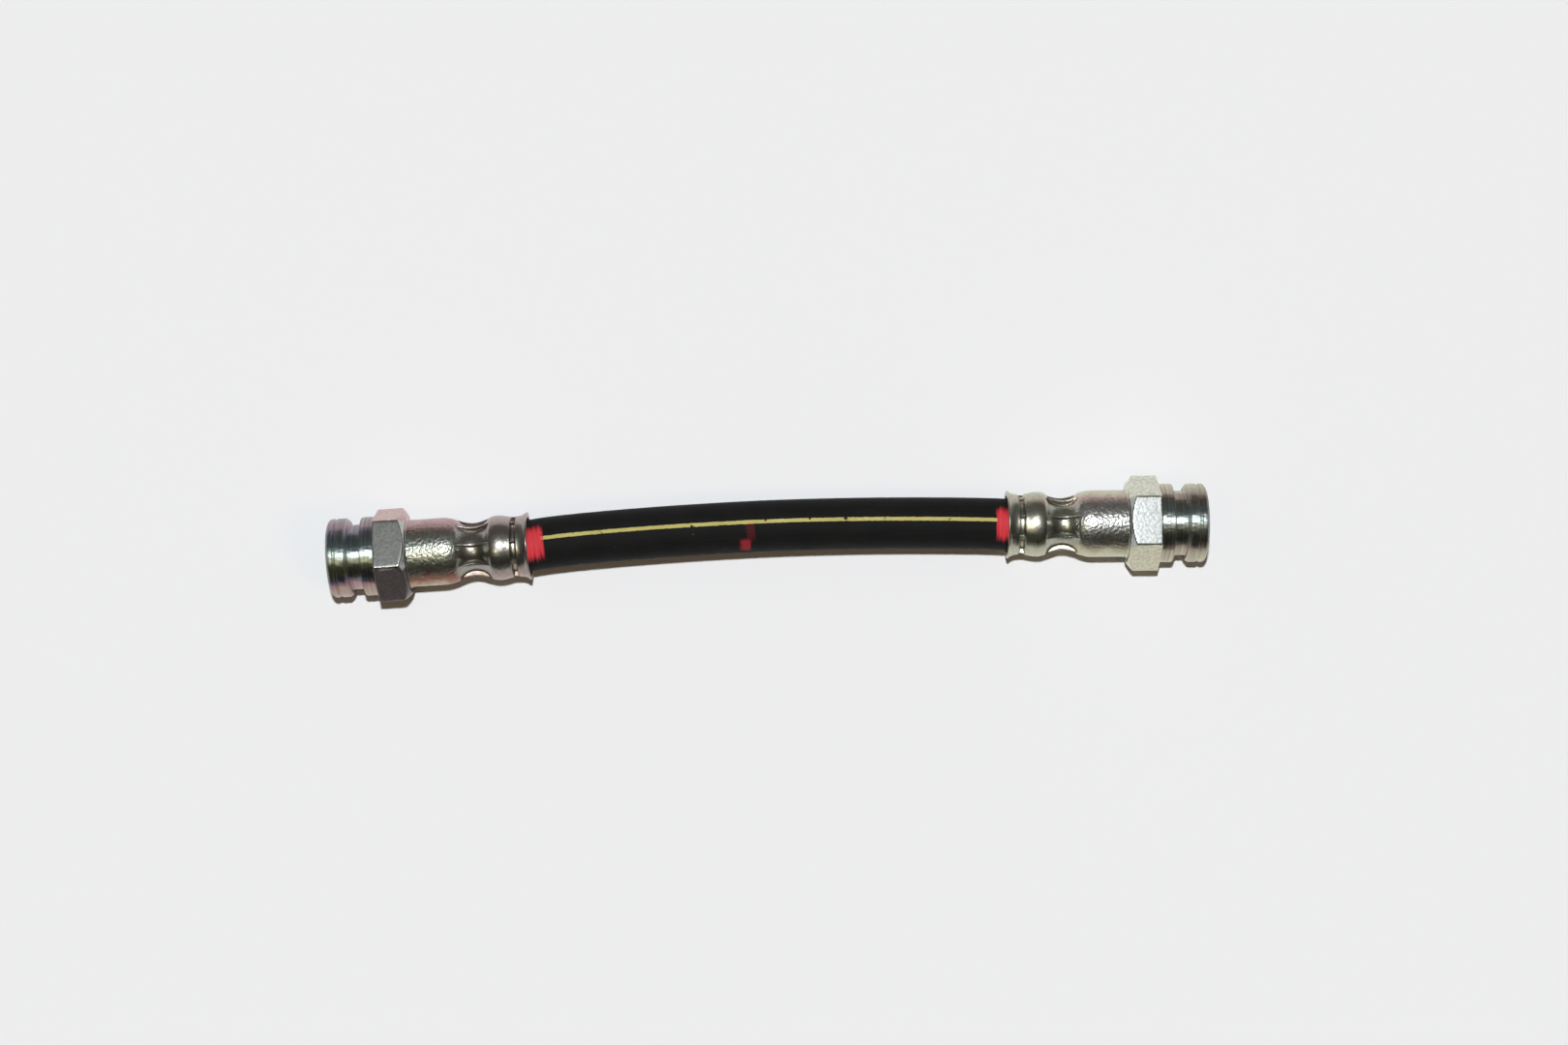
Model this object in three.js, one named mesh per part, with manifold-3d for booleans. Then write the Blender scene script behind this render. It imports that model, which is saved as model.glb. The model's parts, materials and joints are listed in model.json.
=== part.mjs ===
// A short hydraulic brake hose: a rubber hose with a crimped steel end fitting on each end.
// Millimetres, +Z up. The hose lies along X on a flat surface at Z = 0, as it comes to rest.

import * as THREE from 'three';
import { mergeVertices } from 'three/addons/utils/BufferGeometryUtils.js';
import Module from 'manifold-3d';

const wasm = await Module();
wasm.setup();

// Hose
const hoseDiameter = 10.5;
const hoseBore = 3.2;

// Hexagon and turned nose of a fitting, in the order in which they follow the skirt
const hexWidth = 17;
const hexThickness = 6.4;
const hexFaceDiameter = 16.2;
const hexChamferHeight = 1.25;
const collarDiameter = 16;
const collarThickness = 2.8;
const clipGrooveDiameter = 13.15;
const clipGrooveWidth = 2.6;
const ringDiameter = 16;
const ringThickness = 4.2;
const ringChamfer = 0.6;
const endFaceDiameter = 14.6;
const endRoundLength = 0.5;
const notchWidth = 0.7;
const notchDepth = 0.4;
const notchFromEnd = 1.65;
const edgeBreak = 0.25;

// Threaded socket in the nose, drawn at the thread's minor diameter, and the fluid passage behind it
const socketDiameter = 8.9;
const socketDepth = 13;
const socketLeadDiameter = 10.2;
const seatHalfAngle = 60;
const passageDiameter = 3.2;

// Crimped skirt, measured from its mouth towards the hexagon
const skirtLength = 24.4;
const skirtDiameter = 13.64;
const skirtWall = 1.1;
const bulgeDiameter = 13.2;
const mouthDiameter = 13.84;
const flareLength = 2.2;
const skirtCavityDepth = 21.5;

// Two rows of marks that the eight press jaws leave: a wide waist and a narrow groove near the mouth.
// Between each two jaws the steel is squeezed up into a thin fin.
const jawCount = 8;
const finShare = 0.1;
const waistPosition = 11.1;
const waistAcrossJaws = 9;
const waistAcrossFins = 10.8;
const waistJawNose = 4.05;
const waistRunToMouth = 5;
const waistRunToHex = 6.2;
const groovePosition = 2.9;
const grooveAcrossJaws = 10.3;
const grooveAcrossFins = 12.3;
const grooveFloorWidth = 0.56;
const grooveFlankAngle = 68;
const jawContact = 0.98;

// Insert pressed into the fitting, over which the hose is pushed before crimping
const insertDiameter = 3.4;
const insertBore = 2.2;
const insertHeadDiameter = 4.4;
const insertHeadLength = 2.7;
const insertTipFromMouth = 1.5;

// How far the hose keeps its free size inside the flared mouth
const freeHoseDepth = 0.4;

// Gap between pieces that touch on the real hose
const fitGap = 0.3;

// How the piece lies: where each mouth is, which way its fitting points,
// how far the fitting has rolled about its axis and how far its crimp is turned
const leftEnd = { mouth: [-48.64, 0.56], heading: 181.36, roll: 11.7, crimpTurn: 5 };
const rightEnd = { mouth: [48.58, 0.91], heading: -1.84, roll: 0, crimpTurn: 33 };

// Hose centreline between the two mouths, seen from above
const hoseRoute = [
  [-46.1, 0.87],
  [-43.1, 1.15],
  [-38.2, 1.49],
  [-32.8, 1.77],
  [-27.4, 2.01],
  [-22.4, 2.19],
  [-14.5, 2.4],
  [-6.6, 2.54],
  [1.3, 2.6],
  [7.2, 2.56],
  [13.2, 2.47],
  [19.2, 2.33],
  [25, 2.15],
  [31.2, 1.91],
  [36.9, 1.65],
  [42.8, 1.34],
  [45.7, 1.14],
];

// Facets
const roundSteps = 40;
const boreSteps = 16;
const hoseSides = 12;
const hoseSteps = 6;
const socketSteps = 24;
const jawSteps = 2;
const outsideWaistRings = 9;
const insideWaistRings = 7;
const mergeDistance = 1e-5;

// Length along the fitting, from the mouth of the skirt
const hexStart = skirtLength;
const collarStart = hexStart + hexThickness;
const grooveStart = collarStart + collarThickness;
const ringStart = grooveStart + clipGrooveWidth;
const fittingLength = ringStart + ringThickness;
const hexCornerRadius = hexWidth / Math.sqrt(3);
const insertHeadEnd = skirtCavityDepth + insertHeadLength;

const radians = THREE.MathUtils.degToRad;
const jawPitch = (2 * Math.PI) / jawCount;

function solid(geometry) {
  const bare = geometry.clone();
  bare.deleteAttribute('normal');
  bare.deleteAttribute('uv');
  const merged = mergeVertices(bare, mergeDistance);
  return new wasm.Manifold(new wasm.Mesh({
    numProp: 3,
    vertProperties: new Float32Array(merged.attributes.position.array),
    triVerts: new Uint32Array(merged.index.array),
  }));
}

function geometryOf(body) {
  const { vertProperties, triVerts } = body.getMesh();
  const geometry = new THREE.BufferGeometry();
  geometry.setAttribute('position', new THREE.BufferAttribute(vertProperties, 3));
  geometry.setIndex(new THREE.BufferAttribute(triVerts, 1));
  return geometry;
}

// A solid turned about the fitting's axis, from its outline as [radius, length] pairs
function turned(outline, steps = roundSteps, startAngle = 0) {
  const points = outline.map(([radius, length]) => new THREE.Vector2(radius, length));
  return solid(new THREE.LatheGeometry(points, steps, startAngle));
}

// Angles round a crimp: each fin's crest and its two feet, and a few steps over each jaw's mark
function crimpAngles() {
  const angles = [];
  for (let jaw = 0; jaw < jawCount; jaw++) {
    angles.push(jaw * jawPitch);
    for (let step = 0; step <= jawSteps + 1; step++) {
      const share = THREE.MathUtils.lerp(finShare, 1 - finShare, step / (jawSteps + 1));
      angles.push((jaw + share) * jawPitch);
    }
  }
  return angles;
}

// A solid whose radius also changes round the axis: one ring of points at each length
function pressed(lengths, radiusAt) {
  const angles = crimpAngles();
  const steps = angles.length;
  const positions = [];
  const triangles = [];
  for (const length of lengths) {
    for (const angle of angles) {
      const radius = radiusAt(length, angle);
      positions.push(radius * Math.sin(angle), length, radius * Math.cos(angle));
    }
  }
  const rings = lengths.length;
  for (let ring = 0; ring < rings - 1; ring++) {
    for (let step = 0; step < steps; step++) {
      const here = ring * steps + step;
      const beside = ring * steps + ((step + 1) % steps);
      triangles.push(here, beside, here + steps);
      triangles.push(beside, beside + steps, here + steps);
    }
  }
  const firstCentre = positions.length / 3;
  positions.push(0, lengths[0], 0);
  positions.push(0, lengths[rings - 1], 0);
  const lastRing = (rings - 1) * steps;
  for (let step = 0; step < steps; step++) {
    const next = (step + 1) % steps;
    triangles.push(firstCentre, next, step);
    triangles.push(firstCentre + 1, lastRing + step, lastRing + next);
  }
  const geometry = new THREE.BufferGeometry();
  geometry.setAttribute('position', new THREE.Float32BufferAttribute(positions, 3));
  geometry.setIndex(triangles);
  return geometry;
}

// Bell curve that is 1 in the middle of a crimp and 0 where the crimp has run out
function bell(offset, run) {
  return Math.abs(offset) < run ? Math.cos((Math.PI * offset) / (2 * run)) ** 2 : 0;
}

// Radius of the skirt along its fins, between the marks of the jaws
function finRadius(length) {
  if (length < groovePosition) {
    const flare = Math.max(0, 1 - length / flareLength) ** 2;
    return THREE.MathUtils.lerp(grooveAcrossFins, mouthDiameter, flare) / 2;
  }
  const bulgePosition = waistPosition - waistRunToMouth;
  if (length < bulgePosition) {
    const dip = bell(length - groovePosition, bulgePosition - groovePosition);
    return THREE.MathUtils.lerp(bulgeDiameter, grooveAcrossFins, dip) / 2;
  }
  if (length < waistPosition) {
    const dip = bell(length - waistPosition, waistRunToMouth);
    return THREE.MathUtils.lerp(bulgeDiameter, waistAcrossFins, dip) / 2;
  }
  const dip = bell(length - waistPosition, waistRunToHex);
  return THREE.MathUtils.lerp(skirtDiameter, waistAcrossFins, dip) / 2;
}

// Distance from the axis to the round nose of a waist jaw; past the nose the jaw doesn't reach
function waistReach(length) {
  const offset = Math.abs(length - waistPosition);
  if (offset >= waistJawNose) {
    return Infinity;
  }
  return waistAcrossJaws / 2 + waistJawNose - Math.sqrt(waistJawNose ** 2 - offset ** 2);
}

// Distance from the axis to a groove jaw, which has a narrow flat nose and steep flanks
function grooveReach(length) {
  const pastFloor = Math.max(0, Math.abs(length - groovePosition) - grooveFloorWidth / 2);
  return grooveAcrossJaws / 2 + pastFloor * Math.tan(radians(grooveFlankAngle));
}

// Outer radius of the crimped skirt: round marks pressed by the jaws, with a fin left between each two.
// One of the fins lies at angle 0.
function skirtRadius(length, angle) {
  const crest = finRadius(length);
  const mark = Math.min(crest, waistReach(length), grooveReach(length));
  const turn = angle / jawPitch;
  const fromJaw = Math.abs(turn - Math.floor(turn) - 0.5);
  const rise = THREE.MathUtils.smoothstep(fromJaw, 0.5 - finShare, 0.5);
  return THREE.MathUtils.lerp(mark, crest, rise);
}

// Lengths at which the skirt gets a ring of points: close together where a jaw has pressed it
function waistLengths(rings) {
  const lengths = [];
  for (let ring = 0; ring < rings; ring++) {
    const lean = Math.PI * (ring / (rings - 1) - 0.5);
    lengths.push(waistPosition + jawContact * waistJawNose * Math.sin(lean));
  }
  return lengths;
}

function skirtLengths(firstLength, lastLength, waistRings) {
  const bulge = waistPosition - waistRunToMouth;
  const floorReach = grooveFloorWidth / 2;
  const flankRun = (grooveAcrossFins - grooveAcrossJaws) / 2 / Math.tan(radians(grooveFlankAngle));
  const flankReach = floorReach + flankRun;
  const between = [
    flareLength / 3,
    (flareLength * 2) / 3,
    groovePosition - flankReach,
    groovePosition - floorReach,
    groovePosition + floorReach,
    groovePosition + flankReach,
    (groovePosition + flankReach + bulge) / 2,
    bulge,
    ...waistLengths(waistRings),
    waistPosition + (waistJawNose + waistRunToHex) / 2,
    waistPosition + waistRunToHex,
  ];
  const inside = between.filter((length) => length > firstLength && length < lastLength);
  return [firstLength, ...inside, lastLength];
}

function skirtBody(crimpTurn) {
  const lengths = skirtLengths(0, hexStart + hexChamferHeight, outsideWaistRings);
  return solid(pressed(lengths, skirtRadius).rotateY(crimpTurn));
}

function skirtCavity(crimpTurn) {
  const lengths = [-fitGap, ...skirtLengths(0, skirtCavityDepth, insideWaistRings)];
  const skin = pressed(lengths, (length, angle) => (
    skirtRadius(Math.max(length, 0), angle) - skirtWall
  ));
  return solid(skin.rotateY(crimpTurn));
}

function hexagon() {
  const across = turned([
    [0, hexStart],
    [hexCornerRadius, hexStart],
    [hexCornerRadius, collarStart],
    [0, collarStart],
  ], 6, Math.PI / 6);
  const clear = hexCornerRadius + hexChamferHeight;
  const chamferSlope = hexChamferHeight / (hexCornerRadius - hexFaceDiameter / 2);
  const round = turned([
    [0, hexStart],
    [hexFaceDiameter / 2, hexStart],
    [clear, hexStart + chamferSlope * (clear - hexFaceDiameter / 2)],
    [clear, collarStart],
    [0, collarStart],
  ]);
  return across.intersect(round);
}

function nose() {
  const collar = collarDiameter / 2;
  const groove = clipGrooveDiameter / 2;
  const ring = ringDiameter / 2;
  const notch = fittingLength - notchFromEnd;
  return turned([
    [0, hexStart + hexChamferHeight],
    [collar, hexStart + hexChamferHeight],
    [collar, grooveStart - edgeBreak],
    [collar - edgeBreak, grooveStart],
    [groove, grooveStart],
    [groove, ringStart],
    [ring - ringChamfer, ringStart],
    [ring, ringStart + ringChamfer],
    [ring, notch - notchWidth / 2],
    [ring - notchDepth, notch],
    [ring, notch + notchWidth / 2],
    [ring, fittingLength - endRoundLength],
    [endFaceDiameter / 2, fittingLength],
    [0, fittingLength],
  ]);
}

function fluidPath() {
  const socket = socketDiameter / 2;
  const lead = socketLeadDiameter / 2;
  const passage = passageDiameter / 2;
  const pocket = insertHeadDiameter / 2 + fitGap;
  const seatTop = fittingLength - socketDepth;
  const seatDepth = (socket - passage) / Math.tan(radians(seatHalfAngle));
  return turned([
    [0, skirtCavityDepth - fitGap],
    [pocket, skirtCavityDepth - fitGap],
    [pocket, insertHeadEnd + fitGap],
    [passage, insertHeadEnd + fitGap],
    [passage, seatTop - seatDepth],
    [socket, seatTop],
    [socket, fittingLength - (lead - socket)],
    [lead, fittingLength],
    [lead, fittingLength + fitGap],
    [0, fittingLength + fitGap],
  ], socketSteps);
}

function makeFitting(crimpTurn) {
  return skirtBody(crimpTurn)
    .add(hexagon())
    .add(nose())
    .subtract(skirtCavity(crimpTurn))
    .subtract(fluidPath());
}

function makeInsert() {
  const bore = insertBore / 2;
  const outer = insertDiameter / 2;
  const head = insertHeadDiameter / 2;
  return turned([
    [bore, insertTipFromMouth],
    [outer, insertTipFromMouth],
    [outer, skirtCavityDepth],
    [head, skirtCavityDepth],
    [head, insertHeadEnd],
    [bore, insertHeadEnd],
    [bore, insertTipFromMouth],
  ], boreSteps);
}

// Height of a fitting's axis over the surface, as its hexagon rests on a flat or on a corner
function axisHeight({ roll }) {
  const rolled = THREE.MathUtils.euclideanModulo(radians(roll), Math.PI / 3);
  return hexCornerRadius * Math.cos(Math.PI / 6 - rolled);
}

// The fitting's own frame: the mouth at its origin, its axis along the heading, its zero angle upwards
function endMatrix(end) {
  const heading = radians(end.heading);
  const axis = new THREE.Vector3(Math.cos(heading), Math.sin(heading), 0);
  const up = new THREE.Vector3(0, 0, 1);
  const side = new THREE.Vector3().crossVectors(axis, up);
  const [x, y] = end.mouth;
  return new THREE.Matrix4().makeBasis(side, axis, up).setPosition(x, y, axisHeight(end));
}

// A point on a fitting's axis, so far inside the mouth
function axisPoint(end, depth) {
  return new THREE.Vector3(0, depth, 0).applyMatrix4(endMatrix(end));
}

// The hose inside a skirt, squeezed by the crimp, from the mouth to its cut end
function squeezedEnd(end) {
  const lengths = skirtLengths(0, skirtCavityDepth - fitGap, insideWaistRings);
  const skin = pressed(lengths, (length, angle) => {
    const room = skirtRadius(length, angle) - skirtWall - fitGap;
    return Math.min(hoseDiameter / 2, room);
  });
  return solid(skin.rotateY(radians(end.crimpTurn)).applyMatrix4(endMatrix(end)));
}

// Where the hose is stretched over the insert
function insertPocket(end) {
  const pocket = insertDiameter / 2 + fitGap;
  const tip = insertTipFromMouth - fitGap;
  const points = [[0, tip], [pocket, tip], [pocket, fittingLength], [0, fittingLength]];
  const outline = points.map(([radius, length]) => new THREE.Vector2(radius, length));
  return solid(new THREE.LatheGeometry(outline, boreSteps).applyMatrix4(endMatrix(end)));
}

// Centreline of the hose, from one depth inside the left mouth to the same depth inside the right one
function hoseCurve(depth) {
  const start = axisPoint(leftEnd, depth);
  const finish = axisPoint(rightEnd, depth);
  const middle = hoseRoute.map(([x, y]) => {
    const share = THREE.MathUtils.smoothstep(x, start.x, finish.x);
    return new THREE.Vector3(x, y, THREE.MathUtils.lerp(start.z, finish.z, share));
  });
  return new THREE.CatmullRomCurve3([start, ...middle, finish], false, 'centripetal');
}

function alongHose(curve, radius) {
  const corners = [];
  for (let side = 0; side < hoseSides; side++) {
    const angle = (2 * Math.PI * side) / hoseSides;
    corners.push(new THREE.Vector2(radius * Math.cos(angle), radius * Math.sin(angle)));
  }
  const options = { steps: hoseSteps, extrudePath: curve, bevelEnabled: false };
  return solid(new THREE.ExtrudeGeometry(new THREE.Shape(corners), options));
}

function makeHose() {
  return alongHose(hoseCurve(freeHoseDepth), hoseDiameter / 2)
    .add(squeezedEnd(leftEnd))
    .add(squeezedEnd(rightEnd))
    .subtract(alongHose(hoseCurve(insertTipFromMouth), hoseBore / 2))
    .subtract(insertPocket(leftEnd))
    .subtract(insertPocket(rightEnd));
}

const rubber = new THREE.MeshStandardMaterial({ color: 0x1c1c1b, roughness: 0.55, metalness: 0 });
const platedSteel = new THREE.MeshStandardMaterial({ color: 0xa9aa96, roughness: 0.28, metalness: 1 });
const pinkPlatedSteel = new THREE.MeshStandardMaterial({ color: 0xa89a98, roughness: 0.28, metalness: 1 });
const turnedSteel = new THREE.MeshStandardMaterial({ color: 0xb4b6b8, roughness: 0.35, metalness: 1 });

function namedMesh(name, body, material) {
  const mesh = new THREE.Mesh(geometryOf(body), material.clone());
  mesh.name = name;
  return mesh;
}

function makeEnd(side, end, steel) {
  const group = new THREE.Group();
  group.applyMatrix4(endMatrix(end));
  const fitting = namedMesh(`${side}_fitting`, makeFitting(radians(end.crimpTurn - end.roll)), steel);
  fitting.rotation.y = radians(end.roll);
  group.add(fitting);
  group.add(namedMesh(`${side}_insert`, makeInsert(), turnedSteel));
  return group;
}

const brakeHose = new THREE.Group();
brakeHose.add(namedMesh('hose', makeHose(), rubber));
brakeHose.add(makeEnd('left', leftEnd, pinkPlatedSteel));
brakeHose.add(makeEnd('right', rightEnd, platedSteel));

export default brakeHose;
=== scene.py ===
import json
import math

import bpy
import numpy as np
from mathutils import Matrix, Vector


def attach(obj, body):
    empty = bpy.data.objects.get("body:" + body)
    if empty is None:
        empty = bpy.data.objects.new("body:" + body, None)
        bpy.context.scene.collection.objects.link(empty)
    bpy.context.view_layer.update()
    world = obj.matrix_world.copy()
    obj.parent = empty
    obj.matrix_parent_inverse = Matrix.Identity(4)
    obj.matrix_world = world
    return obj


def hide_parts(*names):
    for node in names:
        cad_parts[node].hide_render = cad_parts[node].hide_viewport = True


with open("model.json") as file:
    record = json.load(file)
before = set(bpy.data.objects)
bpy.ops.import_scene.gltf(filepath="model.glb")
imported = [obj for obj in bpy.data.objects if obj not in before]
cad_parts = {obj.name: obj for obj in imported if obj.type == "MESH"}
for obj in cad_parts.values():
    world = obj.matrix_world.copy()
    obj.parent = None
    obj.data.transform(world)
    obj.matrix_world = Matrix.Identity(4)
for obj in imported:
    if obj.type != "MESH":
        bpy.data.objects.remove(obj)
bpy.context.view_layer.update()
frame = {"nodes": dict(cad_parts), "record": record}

# A short hydraulic brake hose on a pale table: a rubber hose with a crimped, zinc-plated steel
# fitting on each end. Lengths in this script are in millimetres until they reach Blender.
MM = 0.001


# Camera, with the place, aim and lens that bring the part where the photo shows it

LENS = 58.9
SENSOR_WIDTH = 36
AIM = (3.3, 3.16, 8.9)
CAMERA_PLACE = (1.82, -32.4, 530.8)
CAMERA_TURN = math.radians(-2.383)


def add_camera():
    data = bpy.data.cameras.new("camera")
    data.lens = LENS
    data.sensor_width = SENSOR_WIDTH
    camera = bpy.data.objects.new("camera", data)
    place = Vector(CAMERA_PLACE) * MM
    back = (place - Vector(AIM) * MM).normalized()
    right = Vector((math.cos(CAMERA_TURN), math.sin(CAMERA_TURN), 0))
    right = (right - back * right.dot(back)).normalized()
    up = back.cross(right)
    turn = Matrix((right, up, back)).transposed().to_4x4()
    camera.matrix_world = Matrix.Translation(place) @ turn
    bpy.context.scene.collection.objects.link(camera)
    bpy.context.scene.camera = camera


add_camera()


# Where the two fittings lie, read from the frame. Each insert's tip lies this deep in its mouth, and
# the corners of the tip's face are found within the second value.

INSERT_TIP = 1.5
INSERT_TIP_DEPTH = 0.1


def end_matrix(side):
    """The fitting's own frame: its mouth at the origin, X out along its axis, Z up. In millimetres."""
    mounts = {mount["name"]: mount for mount in frame["record"]["mounts"]}
    axis = Vector(mounts[f"{side}_end_face"]["axis"]).normalized()
    insert = frame["nodes"][f"{side}_insert"].data
    corners = np.array([vertex.co for vertex in insert.vertices]) / MM
    corners = np.unique(corners.round(3), axis=0)
    along = corners @ np.array(axis)
    tip = Vector(corners[along < along.min() + INSERT_TIP_DEPTH].mean(axis=0))
    up = Vector((0, 0, 1))
    turn = Matrix((axis, up.cross(axis), up)).transposed().to_4x4()
    return Matrix.Translation(tip - axis * INSERT_TIP) @ turn


ENDS = {side: end_matrix(side) for side in ("left", "right")}


def in_metres(matrix):
    scaled = matrix.copy()
    scaled.translation = matrix.translation * MM
    return scaled


# Shape of the crimped skirt, with lengths from its mouth towards the hexagon. Jaw diameters are taken
# in the marks of the jaws, and fin diameters over the metal squeezed up between them.

JAWS = 8
JAW_PITCH = 2 * math.pi / JAWS
FIN_HALF_ANGLE = math.radians(4.5)
# The flat flank of a fin rises this many millimetres for each radian round the axis
FLANK_STEEPNESS = 22
CRIMP_SOFTNESS = 0.1
WAIST = 11.1
WAIST_JAW_DIAMETER = 9.0
WAIST_FIN_DIAMETER = 10.8
JAW_NOSE_RADIUS = 4.05
WAIST_RUN_TO_MOUTH = 5.0
WAIST_RUN_TO_HEX = 6.2
GROOVE = 2.9
GROOVE_JAW_DIAMETER = 10.3
GROOVE_FIN_DIAMETER = 12.3
GROOVE_FLOOR_WIDTH = 0.56
GROOVE_FLANK_ANGLE = math.radians(72)
SKIRT_DIAMETER = 13.64
BULGE_DIAMETER = 13.2
MOUTH_DIAMETER = 13.84
FLARE_LENGTH = 2.2
SKIRT_LENGTH = 24.4
SKIRT_WALL = 1.1
CAVITY_DEPTH = 21.5
RIM_ROUNDING = 0.45
# How far the jaw marks and the hexagon of each fitting are turned about its axis
CRIMP_TURN = {"left": math.radians(7), "right": math.radians(33)}
ROLL = {"left": math.radians(11.7), "right": 0}


def blend(low, high, share):
    return low + (high - low) * share


def smooth_step(value, start, end):
    """0 up to the start, 1 from the end on, and a smooth rise between them."""
    share = np.clip((value - start) / (end - start), 0, 1)
    return share * share * (3 - 2 * share)


def soft_min(a, b, softness):
    """The lesser of two values, with the corner between them rounded."""
    share = np.clip(0.5 + 0.5 * (b - a) / softness, 0, 1)
    return blend(b, a, share) - softness * share * (1 - share)


def bell(offset, run):
    """1 at no offset, falling smoothly to 0 at the run on both sides."""
    return np.where(np.abs(offset) < run, np.cos(np.pi * offset / (2 * run)) ** 2, 0)


def fin_radius(length):
    """Radius of the skirt between the marks of the jaws."""
    bulge = WAIST - WAIST_RUN_TO_MOUTH
    flare = np.maximum(0, 1 - length / FLARE_LENGTH) ** 2
    lip = blend(GROOVE_FIN_DIAMETER, MOUTH_DIAMETER, flare)
    after_groove = blend(BULGE_DIAMETER, GROOVE_FIN_DIAMETER, bell(length - GROOVE, bulge - GROOVE))
    before_waist = blend(BULGE_DIAMETER, WAIST_FIN_DIAMETER, bell(length - WAIST, WAIST_RUN_TO_MOUTH))
    after_waist = blend(SKIRT_DIAMETER, WAIST_FIN_DIAMETER, bell(length - WAIST, WAIST_RUN_TO_HEX))
    steps = [length < GROOVE, length < bulge, length < WAIST]
    return np.select(steps, [lip, after_groove, before_waist], after_waist) / 2


def jaw_reach(length):
    """Distance from the axis to the jaws: round noses at the waist, narrow ones in the groove."""
    offset = np.abs(length - WAIST)
    drop = np.sqrt(np.maximum(JAW_NOSE_RADIUS ** 2 - offset ** 2, 0))
    past_nose = np.maximum(offset - JAW_NOSE_RADIUS, 0)
    waist = WAIST_JAW_DIAMETER / 2 + JAW_NOSE_RADIUS - drop + past_nose * JAW_NOSE_RADIUS
    past_floor = np.maximum(np.abs(length - GROOVE) - GROOVE_FLOOR_WIDTH / 2, 0)
    groove = GROOVE_JAW_DIAMETER / 2 + past_floor * math.tan(GROOVE_FLANK_ANGLE)
    return np.minimum(waist, groove)


def skirt_radius(length, angle, crimp_turn):
    """Outer radius of the skirt: round jaw marks with a thin, flat-sided fin between each two."""
    length = np.asarray(length, float)
    turn = (angle - crimp_turn) / JAW_PITCH
    from_fin = JAW_PITCH * np.abs(turn - np.round(turn))
    crest = fin_radius(length)
    mark = soft_min(crest, jaw_reach(length), CRIMP_SOFTNESS)
    flank = WAIST_JAW_DIAMETER / 2 + (FIN_HALF_ANGLE - from_fin) * FLANK_STEEPNESS
    return np.clip(flank, mark, crest)


# Hose

HOSE_DIAMETER = 10.5
HOSE_BORE = 3.2
HOSE_SIDES = 128
HOSE_STEP = 0.38
HOSE_CUT_DEPTH = 21.2
# Gap planned between the hose and the skirts round it, and between it and the inserts in it
HOSE_SLACK = 0.08
INSERT_DIAMETER = 3.4
BORE_FLARE_LENGTH = 0.6
CUT_ROUNDING = 0.2

# Centreline between the two mouths, the same points as the CAD model's
HOSE_ROUTE = [
    (-46.1, 0.87), (-43.1, 1.15), (-38.2, 1.49), (-32.8, 1.77), (-27.4, 2.01), (-22.4, 2.19),
    (-14.5, 2.4), (-6.6, 2.54), (1.3, 2.6), (7.2, 2.56), (13.2, 2.47), (19.2, 2.33),
    (25, 2.15), (31.2, 1.91), (36.9, 1.65), (42.8, 1.34), (45.7, 1.14),
]


def hose_points():
    """Centreline points from cut end to cut end: straight in the skirts, on the route between them."""
    start, finish = (ENDS[side].translation for side in ("left", "right"))
    free = [start]
    for x, y in HOSE_ROUTE:
        share = float(smooth_step(x, start.x, finish.x))
        free.append(Vector((x, y, blend(start.z, finish.z, share))))
    free.append(finish)
    depths = (HOSE_CUT_DEPTH, HOSE_CUT_DEPTH / 2, HOSE_CUT_DEPTH / 4)
    left = [ENDS["left"] @ Vector((depth, 0, 0)) for depth in depths]
    right = [ENDS["right"] @ Vector((depth, 0, 0)) for depth in reversed(depths)]
    return np.array(left + free + right)


def smooth_line(points, step):
    """A smooth curve through the points, with a point about every step."""
    chords = np.linalg.norm(np.diff(points, axis=0), axis=1)
    along = np.concatenate([[0], np.cumsum(chords)])
    slopes = np.gradient(points, along, axis=0)
    places = np.linspace(0, along[-1], int(along[-1] / step) + 1)
    index = np.clip(np.searchsorted(along, places, side="right") - 1, 0, len(points) - 2)
    span = chords[index][:, None]
    t = ((places - along[index]) / chords[index])[:, None]
    return (
        (2 * t ** 3 - 3 * t ** 2 + 1) * points[index]
        + (t ** 3 - 2 * t ** 2 + t) * span * slopes[index]
        + (3 * t ** 2 - 2 * t ** 3) * points[index + 1]
        + (t ** 3 - t ** 2) * span * slopes[index + 1]
    )


def mesh_object(name, corners, faces, uv=None):
    """A smooth-shaded object from corners in millimetres."""
    mesh = bpy.data.meshes.new(name)
    mesh.from_pydata((np.asarray(corners) * MM).tolist(), [], np.asarray(faces).tolist())
    if uv is not None:
        layer = mesh.uv_layers.new(name="along_and_around")
        layer.data.foreach_set("uv", np.asarray(uv, float).ravel())
    mesh.shade_smooth()
    piece = bpy.data.objects.new(name, mesh)
    bpy.context.scene.collection.objects.link(piece)
    return piece


def ring_faces(rings, sides, closed):
    """Quads between neighbouring rings, and from the last to the first if closed."""
    count = rings if closed else rings - 1
    ring = np.arange(count)[:, None]
    side = np.arange(sides)[None, :]
    here = ring * sides + side
    beside = ring * sides + (side + 1) % sides
    above = ((ring + 1) % rings) * sides + side
    above_beside = ((ring + 1) % rings) * sides + (side + 1) % sides
    return np.stack([here, above, above_beside, beside], axis=-1).reshape(-1, 4)


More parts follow.
